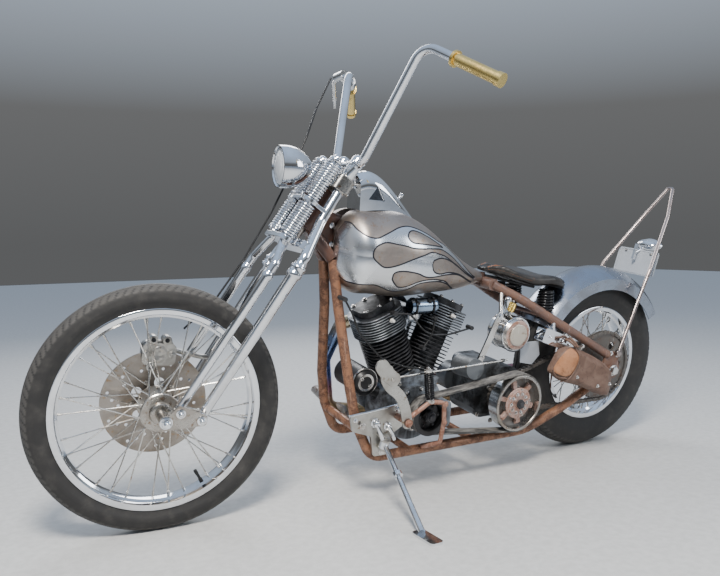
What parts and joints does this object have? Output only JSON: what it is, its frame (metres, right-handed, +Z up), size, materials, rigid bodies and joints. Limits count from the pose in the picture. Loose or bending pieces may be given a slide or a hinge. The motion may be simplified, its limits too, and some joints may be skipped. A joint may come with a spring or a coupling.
{
  "type": "motorcycle",
  "caption": "Long-fork chopper motorcycle with springer fork, rigid frame, V-twin engine, open belt primary drive and solo seat, parked on its side stand.",
  "frame": {"origin": "on the ground, under the middle of the bounding box", "axes": "+X forward, +Y to the rider's left, +Z up"},
  "size_m": [2.3458, 0.9636, 1.3517],
  "materials": {
    "tyre": "matt",
    "wheel_steel": "aged plating",
    "disc_steel": "brushed",
    "chrome": "plated, a little aged",
    "lens": "fluted",
    "gold_grip": "metallic",
    "polished_alloy": "polished",
    "hose": "braided",
    "bare_frame": "aged brown",
    "rust_paint": "rust coloured",
    "engine_alloy": "cast",
    "black_iron": "satin black",
    "pipe_steel": "heat stained",
    "belt_rubber": "matt",
    "chain_steel": "oiled",
    "aged_steel": "aged",
    "leather": "worn",
    "tank_steel": "bare brushed steel",
    "black_steel": "satin",
    "lamp_red": "gloss"
  },
  "bodies": {
    "frame": {"backbone": "bare_frame", "cradle_tubes": "rust_paint", "rear_stays": "rust_paint", "crankcase": "engine_alloy", "front_cylinder": "black_iron", "rear_cylinder": "black_iron", "intake": "engine_alloy", "exhaust": "pipe_steel", "cables": "hose", "generator": "engine_alloy", "gearbox": "engine_alloy", "front_pulley": "polished_alloy", "clutch_drum": "polished_alloy", "primary_belt": "belt_rubber", "drive_chain": "chain_steel", "oil_tank": "aged_steel", "battery_box": "chrome", "tool_bag": "leather", "fuel_tanks": "tank_steel", "dash": "chrome", "seat": "leather", "seat_springs": "black_steel", "rear_fender": "tank_steel", "sissy_bar": "chrome", "tail_light": "lamp_red", "stand_bracket": "aged_steel", "clutch_pedal": "aged_steel", "foot_pegs": "aged_steel"},
    "fork": {"fork_legs": "chrome", "spring_legs": "chrome", "front_axle": "chrome", "fork_springs": "chrome", "headlight": "chrome", "headlight_lens": "lens", "handlebar": "chrome", "grips": "gold_grip", "brake_lever": "polished_alloy", "brake_line": "hose", "caliper": "polished_alloy"},
    "front_wheel": {"front_tyre": "tyre", "front_wire_wheel": "wheel_steel", "front_disc": "disc_steel"},
    "rear_wheel": {"rear_tyre": "tyre", "rear_wire_wheel": "wheel_steel", "rear_sprocket": "disc_steel"},
    "side_stand": {"side_stand": "aged_steel"}
  },
  "joints": [
    {"name": "steering", "type": "hinge", "parent": "frame", "child": "fork", "pos_m": [0.78183, -0.12214, 0.30822], "axis": [-0.5598, 0.1153, 0.8206], "range_deg": [-21, 34]},
    {"name": "front_roll", "type": "hinge", "parent": "fork", "child": "front_wheel", "pos_m": [0.83122, -0.12422, 0.34221], "axis": [0.0938, 0.9927, -0.0755], "continuous": true},
    {"name": "rear_roll", "type": "hinge", "parent": "frame", "child": "rear_wheel", "pos_m": [-0.78845, -0.11943, 0.32748], "axis": [0, 0.9903, -0.1392], "continuous": true},
    {"name": "stand_swing", "type": "hinge", "parent": "frame", "child": "side_stand", "pos_m": [0.19664, 0.02383, 0.18282], "axis": [-0.0508, 0.4304, 0.9012], "range_deg": [0, 85]}
  ]
}
